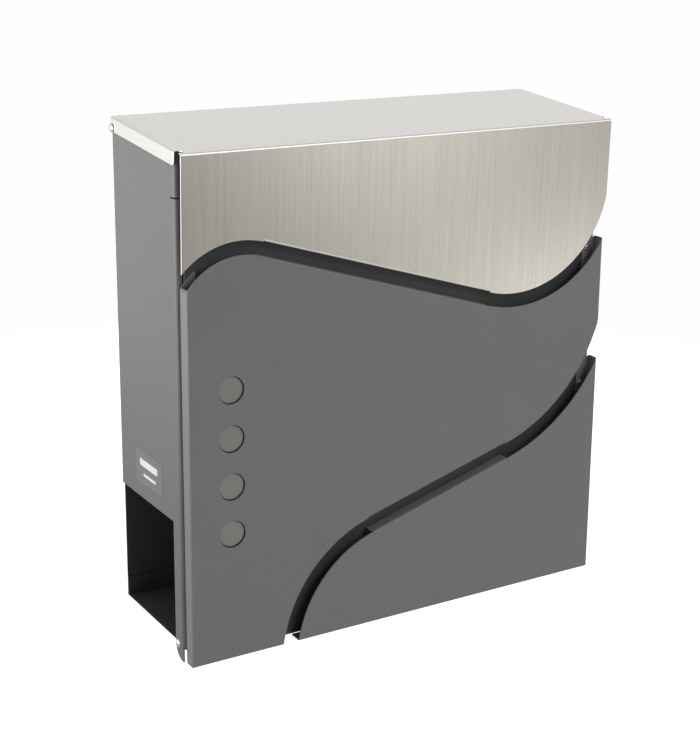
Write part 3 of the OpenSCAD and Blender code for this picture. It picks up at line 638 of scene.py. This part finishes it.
def rivet_profile(head_r, head_h, pin_r, grip, tail_r, tail_h, mandrel, sink):
    """blind rivet: domed head towards -Z with its mandrel set back, shank and tail towards +Z"""
    rim = 0.12 * head_h
    dome = [(r, -(h + rim)) for r, h in dome_points(head_r, head_h - rim)]
    hole_r = head_r * mandrel
    kept = [p for p in dome if p[0] > hole_r * 1.25]
    top = -head_h
    bead = 0.25 * tail_h
    points = [
        (0.0, top + sink), (hole_r * 0.75, top + sink), (hole_r * 0.8, top + sink * 1.5),
        (hole_r * 0.95, top + sink * 1.5), (hole_r, top + sink * 0.4),
        (hole_r * 1.12, top + sink * 0.14)]
    points += list(reversed(kept))
    points += [
        (head_r, -0.02 * head_h), (head_r * 0.97, 0.0), (pin_r, 0.0), (pin_r, grip),
        (tail_r * 0.95, grip), (tail_r, grip + bead), (tail_r, grip + tail_h - bead),
        (tail_r * 0.8, grip + tail_h), (tail_r * 0.42, grip + tail_h),
        (tail_r * 0.38, grip + tail_h * 0.8), (0.0, grip + tail_h * 0.8)]
    return points


def stud_profile(head_r, head_h, neck_r, neck_end, pin_r, pin_end, chamfer):
    """round accent: faced head at Z 0, neck and threaded end towards +Z"""
    face = [(head_r * 0.93 * i / STUD_FACE_RINGS, 0.0) for i in range(STUD_FACE_RINGS + 1)]
    root_r = pin_r * THREAD_ROOT
    tip = 0.3 * MM
    back = 0.15 * MM
    thread = []
    z = neck_end + 0.2 * MM
    while z + THREAD_PITCH < pin_end - tip:
        thread += [(root_r, z), (pin_r, z + THREAD_PITCH * 0.5)]
        z += THREAD_PITCH
    return face + [
        (head_r - chamfer, 0.0), (head_r - 0.12 * MM, chamfer * 0.55), (head_r, chamfer),
        (head_r, head_h - back), (head_r - back, head_h), (neck_r, head_h),
        (neck_r, neck_end), (pin_r, neck_end)] + thread + [
        (root_r, z), (pin_r * 0.95, pin_end - tip), (pin_r * 0.75, pin_end), (0.0, pin_end)]


# ---------- operators ----------

# CAD node of each sheet of the body, and its piece's name
BODY_SHEETS = {
    "back_panel": "rear_wall", "left_side_wall": "left_wall", "right_side_wall": "right_wall",
    "floor_tray": "paper_floor", "divider_shelf": "letter_shelf",
    "front_crossbar": "crossbar", "top_ledge": "slot_ledge",
}
# node, name, coat and material slot
DOOR_SHEETS = (
    # the door pan gets the darkest coat, painted shade for the recesses between the front panels
    ("door_pan", "door", "shade_dark_paint", "body_paint"),
    ("middle_panel", "front_panel_middle", "panel_paint", "panel_paint"),
    ("lower_panel", "front_panel_low", "panel_paint", "panel_paint"),
)
# node, name, body, coat, material slot and rounding in millimetres
LOCK_PIECES = (
    ("lock_body", "lock_housing", "door", "nickel", "lock_chrome", 0.35),
    ("lock_nut", "lock_ring_nut", "door", "zinc", "zinc_steel", 0.4),
    ("lock_plug", "lock_core", "lock", "nickel", "lock_chrome", 0.25),
    ("lock_cam", "lock_lever", "lock", "zinc", "zinc_steel", 0.25),
    ("cam_screw", "lever_screw", "lock", "zinc", "zinc_steel", 0.2),
)


class MAILBOX_OT_body_sheets(bpy.types.Operator):
    """Rounds and paints the folded sheets of the body"""

    bl_idname = "mailbox.body_sheets"
    bl_label = "Body sheets"

    def execute(self, context):
        s = context.scene.mailbox_sheet
        for node, name in BODY_SHEETS.items():
            # painted shade: the side walls take the darker coat and every other body sheet the
            # darkest, for the shade in the jambs and inside the box
            coat = "body_paint" if node.endswith("side_wall") else "shade_dark_paint"
            obj = rounded_piece(node, name, s.edge_round, s.crease, material(coat))
            seat(obj, node, "housing")
        return {"FINISHED"}


class MAILBOX_OT_door_sheets(bpy.types.Operator):
    """Rounds and paints the door pan and its two front panels"""

    bl_idname = "mailbox.door_sheets"
    bl_label = "Door and front panels"

    def execute(self, context):
        s = context.scene.mailbox_sheet
        for node, name, coat, slot_name in DOOR_SHEETS:
            obj = rounded_piece(node, name, s.edge_round, s.crease, material(coat))
            seat(obj, node, "door")
        return {"FINISHED"}


def grain_map(mesh):
    """UV map in metres: U across the brushing lines, V along them"""
    layer = mesh.uv_layers.new(name="grain")
    uv = np.zeros((len(mesh.loops), 2), np.float32)
    for poly in mesh.polygons:
        side = abs(poly.normal.x) > 0.75
        for i in poly.loop_indices:
            co = mesh.vertices[mesh.loops[i].vertex_index].co
            uv[i] = (co.z, co.y) if side else (co.x, co.z - co.y)
    layer.data.foreach_set("uv", uv.ravel())


class MAILBOX_OT_lid(bpy.types.Operator):
    """Rounds the lid and gives it its brushed steel"""

    bl_idname = "mailbox.lid"
    bl_label = "Lid"

    def execute(self, context):
        s = context.scene.mailbox_sheet
        obj = rounded_piece("lid_cover", "lid", s.edge_round, s.crease, material("steel"))
        grain_map(obj.data)
        seat(obj, "lid_cover", "lid")
        return {"FINISHED"}


class MAILBOX_OT_rivets(bpy.types.Operator):
    """Sets the blind rivets of the hinges and of the front panels"""

    bl_idname = "mailbox.rivets"
    bl_label = "Rivets"

    def execute(self, context):
        f = context.scene.mailbox_fasteners
        for node, name, body in (
                ("lid_rivets", "lid_hinge_rivets", "housing"),
                ("door_rivets", "door_hinge_rivets", "housing"),
                ("panel_rivets", "front_panel_rivets", "door")):
            found = islands(node)
            low, high = found[0]
            # panel rivets lie along Y, hinge rivets along X
            along = 1 if node == "panel_rivets" else 0
            share = PANEL_RIVET if along else HINGE_RIVET
            head_r = (high.z - low.z) / 2
            length = (high - low)[along]
            head_h = head_r * share["head_height"]
            tail_h = head_h if along else HINGE_TAIL_HEIGHT
            profile = rivet_profile(
                head_r, head_h, head_r * share["shank"], length - head_h - tail_h,
                head_r * share["tail"], tail_h, f.mandrel, f.mandrel_sink)
            spots = []
            for a, b in found:
                mid = (a + b) / 2
                if along:
                    spots.append((Vector((mid.x, a.y + head_h, mid.z)), (0.0, 1.0, 0.0)))
                elif mid.x < 0:
                    spots.append((Vector((a.x + head_h, mid.y, mid.z)), (1.0, 0.0, 0.0)))
                else:
                    spots.append((Vector((b.x - head_h, mid.y, mid.z)), (-1.0, 0.0, 0.0)))
            obj = placed_parts(name, lathe(name, profile, f.turn_steps), spots, material("rivet"))
            seat(obj, node, body)
        return {"FINISHED"}


class MAILBOX_OT_studs(bpy.types.Operator):
    """Turns the round accents and rounds their nuts"""

    bl_idname = "mailbox.studs"
    bl_label = "Round accents and nuts"

    def execute(self, context):
        f = context.scene.mailbox_fasteners
        found = islands("accent_studs")
        low, high = found[0]
        head_r = (high.z - low.z) / 2
        door_low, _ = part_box("door_pan")
        profile = stud_profile(
            head_r, STUD_HEAD_HEIGHT, STUD_NECK_RADIUS, door_low.y - low.y, STUD_PIN_RADIUS,
            high.y - low.y, f.accent_chamfer)
        spots = [(Vector(((a.x + b.x) / 2, a.y, (a.z + b.z) / 2)), (0.0, 1.0, 0.0))
                 for a, b in found]
        obj = placed_parts("round_accents", lathe("round_accents", profile, STUD_STEPS), spots,
                           material("accent"), seed=3)
        seat(obj, "accent_studs", "door")
        nuts = rounded_piece("stud_nuts", "accent_nuts", NUT_ROUND, CREASE, material("zinc"))
        seat(nuts, "stud_nuts", "door")
        return {"FINISHED"}


class MAILBOX_OT_lock(bpy.types.Operator):
    """Finishes the cam lock"""

    bl_idname = "mailbox.lock"
    bl_label = "Lock"

    def execute(self, context):
        for node, name, body, key, slot_name, width in LOCK_PIECES:
            obj = rounded_piece(node, name, width * MM, CREASE, material(key))
            seat(obj, node, body)
        return {"FINISHED"}


class MAILBOX_OT_nylon(bpy.types.Operator):
    """Finishes the nylon washers and bushes of the hinges"""

    bl_idname = "mailbox.nylon"
    bl_label = "Washers and bushes"

    def execute(self, context):
        for node, name in (("lid_washers", "hinge_washers"), ("pivot_bushes", "hinge_bushes")):
            obj = rounded_piece(node, name, NYLON_ROUND, CREASE, material("nylon"))
            seat(obj, node, "housing")
        return {"FINISHED"}


def film_sheet(name, x, low, high, thickness, corner, finish):
    """thin sheet with round corners on the outside of the left wall"""
    steps = 6
    outline = []
    for cy, cz, start in (
            (high[0] - corner, high[1] - corner, 0), (low[0] + corner, high[1] - corner, 90),
            (low[0] + corner, low[1] + corner, 180), (high[0] - corner, low[1] + corner, 270)):
        for i in range(steps + 1):
            a = math.radians(start + 90 * i / steps)
            outline.append((cy + corner * math.cos(a), cz + corner * math.sin(a)))
    bm = bmesh.new()
    front = [bm.verts.new((x - thickness, y, z)) for y, z in outline]
    back = [bm.verts.new((x, y, z)) for y, z in outline]
    bm.faces.new(front)
    bm.faces.new(list(reversed(back)))
    for i in range(len(outline)):
        j = (i + 1) % len(outline)
        bm.faces.new((front[i], front[j], back[j], back[i]))
    bmesh.ops.recalc_face_normals(bm, faces=bm.faces)
    mesh = bpy.data.meshes.new(name)
    bm.to_mesh(mesh)
    bm.free()
    mesh.materials.append(finish)
    return new_object(name, mesh)


# blank fields of the label: name, place across and up, width and height, as shares of the film
LABEL_FIELDS = (
    ("label_field_wide", 0.51, 0.64, 0.66, 0.21),
    ("label_field_small", 0.48, 0.29, 0.46, 0.09),
)


class MAILBOX_OT_label(bpy.types.Operator):
    """Puts a blank film label on the left side wall"""

    bl_idname = "mailbox.label"
    bl_label = "Side label"

    def execute(self, context):
        s = context.scene.mailbox_label
        wall_low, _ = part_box("left_side_wall")
        y0, y1 = s.middle_y - s.width / 2, s.middle_y + s.width / 2
        z0, z1 = s.middle_z - s.height / 2, s.middle_z + s.height / 2
        x = wall_low.x
        pieces = [film_sheet("side_label", x, (y0, z0), (y1, z1), s.thickness, LABEL_CORNER,
                             material("film"))]
        for name, across, up, wide, high in LABEL_FIELDS:
            y, z = y0 + across * s.width, z0 + up * s.height
            pieces.append(film_sheet(
                name, x - s.thickness, (y - wide * s.width / 2, z - high * s.height / 2),
                (y + wide * s.width / 2, z + high * s.height / 2), s.thickness / 4, FIELD_CORNER,
                material("field")))
        for piece in pieces:
            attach(piece, "housing")
        return {"FINISHED"}


# the room's even light: the wall behind the box, the side before it, and the left side's share
ROOM_BACK = (0.89, 0.89, 0.885)
ROOM_FRONT = (0.23, 0.213, 0.19)
ROOM_LEFT = (0.45, 0.45, 0.45)
SEEN_WHITE = (0.985, 0.985, 0.985, 1.0)

# soft patches of light in the room: degrees to the right, degrees up, sharpness and colour
PATCHES = (
    # mirrored by the flap: its bright upper middle, its lower right part and its right end
    (32, -9.4, 600, (2.05, 2.0, 1.9)),
    (43, -23, 200, (4.9, 4.74, 4.36)),
    (60, -14, 12, (0.3, 0.292, 0.273)),
    # wide light from above the viewer, and the light line along the lid's bend
    (30, 34, 11, (1.15, 1.14, 1.1)),
    (31, 26, 40, (1.3, 1.29, 1.24)),
    # light on the left side wall, low and high
    (-102, -14, 5, (7.15, 7.2, 6.95)),
    (-130, 40, 8, (0.3, 0.3, 0.295)),
)
# the floor's glow, and how much more of it the camera sees
FLOOR_GLOW = 0.55
FLOOR_GLOW_SEEN = 0.6
# area lamps: name, place, size and watts
LAMPS = (
    ("front_light", (0.4, -1.6, 0.9), (0.9, 0.7), 17),
    ("top_light", (0.2, 0.2, 1.9), (1.6, 1.2), 4),
)


def lobe(tree, direction, toward, sharp, colour):
    """soft patch of light in the sky around one direction"""
    dot = add(tree, "ShaderNodeVectorMath", operation="DOT_PRODUCT")
    tree.links.new(direction, dot.inputs[0])
    dot.inputs[1].default_value = Vector(toward).normalized()
    part = spread(tree, dot.outputs["Value"], 0.0, 1.0, 0.0, 1.0)
    power = add(tree, "ShaderNodeMath", operation="POWER")
    tree.links.new(part, power.inputs[0])
    power.inputs[1].default_value = sharp
    scaled = add(tree, "ShaderNodeVectorMath", operation="SCALE")
    scaled.inputs[0].default_value = colour
    tree.links.new(power.outputs["Value"], scaled.inputs["Scale"])
    return scaled.outputs["Vector"]


def compass(turn, rise):
    """direction from degrees to the right of straight out from the wall, and degrees up"""
    a, e = math.radians(turn), math.radians(rise)
    return (math.sin(a) * math.cos(e), -math.cos(a) * math.cos(e), math.sin(e))


def studio_world():
    """white to the eye, and a room around it whose light comes from all sides"""
    world = bpy.data.worlds.new("studio")
    world.use_nodes = True
    tree = world.node_tree
    tree.nodes.clear()
    direction = add(tree, "ShaderNodeTexCoord").outputs["Generated"]
    split = add(tree, "ShaderNodeSeparateXYZ")
    tree.links.new(direction, split.inputs[0])
    backward = spread(tree, split.outputs["Y"], -0.7, 0.3, 0.0, 1.0)
    rightward = spread(tree, split.outputs["X"], -0.8, 0.0, 0.0, 1.0)
    both = add(tree, "ShaderNodeVectorMath", operation="MULTIPLY")
    tree.links.new(tint(tree, backward, ROOM_FRONT, ROOM_BACK), both.inputs[0])
    tree.links.new(tint(tree, rightward, ROOM_LEFT, (1.0, 1.0, 1.0)), both.inputs[1])
    light = both.outputs["Vector"]
    for turn, rise, sharp, colour in PATCHES:
        total = add(tree, "ShaderNodeVectorMath", operation="ADD")
        tree.links.new(light, total.inputs[0])
        tree.links.new(lobe(tree, direction, compass(turn, rise), sharp, colour), total.inputs[1])
        light = total.outputs["Vector"]
    room, seen = add(tree, "ShaderNodeBackground"), add(tree, "ShaderNodeBackground")
    tree.links.new(light, room.inputs["Color"])
    seen.inputs["Color"].default_value = SEEN_WHITE
    pick = add(tree, "ShaderNodeMixShader")
    tree.links.new(add(tree, "ShaderNodeLightPath").outputs["Is Camera Ray"], pick.inputs["Fac"])
    tree.links.new(room.outputs["Background"], pick.inputs[1])
    tree.links.new(seen.outputs["Background"], pick.inputs[2])
    out = add(tree, "ShaderNodeOutputWorld")
    tree.links.new(pick.outputs["Shader"], out.inputs["Surface"])
    return world


def studio_floor(size, height):
    """plain pale disc that glows evenly, so no edge of it shows against the room"""
    bm = bmesh.new()
    bmesh.ops.create_circle(
        bm, cap_ends=True, segments=96, radius=size / 2,
        matrix=Matrix.Translation((0, 0, height)))
    mesh = bpy.data.meshes.new("floor")
    bm.to_mesh(mesh)
    bm.free()
    floor = new_object("floor", mesh)
    mat, tree, shader = node_tree("studio_floor")
    shader.inputs["Base Color"].default_value = (0.2, 0.2, 0.2, 1.0)
    shader.inputs["Roughness"].default_value = 0.9
    shader.inputs["Specular IOR Level"].default_value = 0.1
    shader.inputs["Emission Color"].default_value = (1.0, 1.0, 1.0, 1.0)
    glow = add(tree, "ShaderNodeMath", operation="MULTIPLY_ADD")
    tree.links.new(add(tree, "ShaderNodeLightPath").outputs["Is Camera Ray"], glow.inputs[0])
    glow.inputs[1].default_value = FLOOR_GLOW_SEEN
    glow.inputs[2].default_value = FLOOR_GLOW
    tree.links.new(glow.outputs["Value"], shader.inputs["Emission Strength"])
    mesh.materials.append(mat)
    return floor


def area_lamp(name, place, size, watts):
    """soft lamp aimed at the origin, which no piece mirrors"""
    light = bpy.data.lights.new(name, "AREA")
    light.shape = "RECTANGLE"
    light.size, light.size_y = size
    light.energy = watts
    lamp = bpy.data.objects.new(name, light)
    lamp.location = place
    lamp.rotation_euler = (-Vector(place)).to_track_quat("-Z", "Y").to_euler()
    lamp.visible_camera = False
    lamp.visible_glossy = False
    return lamp


class MAILBOX_OT_stage(bpy.types.Operator):
    """Sets camera, floor and soft lights"""

    bl_idname = "mailbox.stage"
    bl_label = "Studio"

    def execute(self, context):
        s = context.scene.mailbox_studio
        scene = context.scene
        data = bpy.data.cameras.new("camera")
        cam = bpy.data.objects.new("camera", data)
        scene.collection.objects.link(cam)
        data.lens = s.lens
        data.shift_y = s.shift
        data.clip_start = 0.01
        data.clip_end = 60
        cam.matrix_world = (
            Matrix.Translation(s.camera_place)
            @ Matrix.Rotation(-s.camera_turn, 4, "Z")
            @ Matrix.Rotation(math.pi / 2 - s.camera_tilt, 4, "X")
            @ Matrix.Rotation(s.camera_roll, 4, "Z"))
        scene.camera = cam
        scene.view_settings.view_transform = "Standard"

        studio_floor(s.floor_size, CAD_BOX[0].z - s.floor_drop)
        scene.world = studio_world()
        for name, place, size, watts in LAMPS:
            scene.collection.objects.link(area_lamp(name, place, size, watts))
        return {"FINISHED"}


class MAILBOX_PT_panel(bpy.types.Panel):
    """Lists the mailbox's pieces"""

    bl_idname = "MAILBOX_PT_panel"
    bl_label = "Wall mailbox"
    bl_space_type = "VIEW_3D"
    bl_region_type = "UI"
    bl_category = "Mailbox"

    def draw(self, context):
        for group in (context.scene.mailbox_sheet, context.scene.mailbox_fasteners,
                      context.scene.mailbox_label, context.scene.mailbox_studio):
            box = self.layout.box()
            for key in group.bl_rna.properties.keys():
                if key not in {"rna_type", "name"}:
                    box.prop(group, key)
        for operator in OPERATORS:
            self.layout.operator(operator.bl_idname)


SETTINGS = {
    "mailbox_sheet": SheetSettings,
    "mailbox_fasteners": FastenerSettings,
    "mailbox_label": LabelSettings,
    "mailbox_studio": StudioSettings,
}
OPERATORS = (
    MAILBOX_OT_body_sheets,
    MAILBOX_OT_door_sheets,
    MAILBOX_OT_lid,
    MAILBOX_OT_rivets,
    MAILBOX_OT_studs,
    MAILBOX_OT_lock,
    MAILBOX_OT_nylon,
    MAILBOX_OT_label,
    MAILBOX_OT_stage,
)


def register():
    for cls in (*SETTINGS.values(), *OPERATORS, MAILBOX_PT_panel):
        bpy.utils.register_class(cls)
    for name, cls in SETTINGS.items():
        setattr(bpy.types.Scene, name, PointerProperty(type=cls))


def unregister():
    for name in SETTINGS:
        delattr(bpy.types.Scene, name)
    for cls in reversed((*SETTINGS.values(), *OPERATORS, MAILBOX_PT_panel)):
        bpy.utils.unregister_class(cls)


def main():
    register()
    bpy.ops.mailbox.body_sheets()
    bpy.ops.mailbox.door_sheets()
    bpy.ops.mailbox.lid()
    bpy.ops.mailbox.rivets()
    bpy.ops.mailbox.studs()
    bpy.ops.mailbox.lock()
    bpy.ops.mailbox.nylon()
    bpy.ops.mailbox.label()
    bpy.ops.mailbox.stage()


if __name__ == "__main__":
    main()
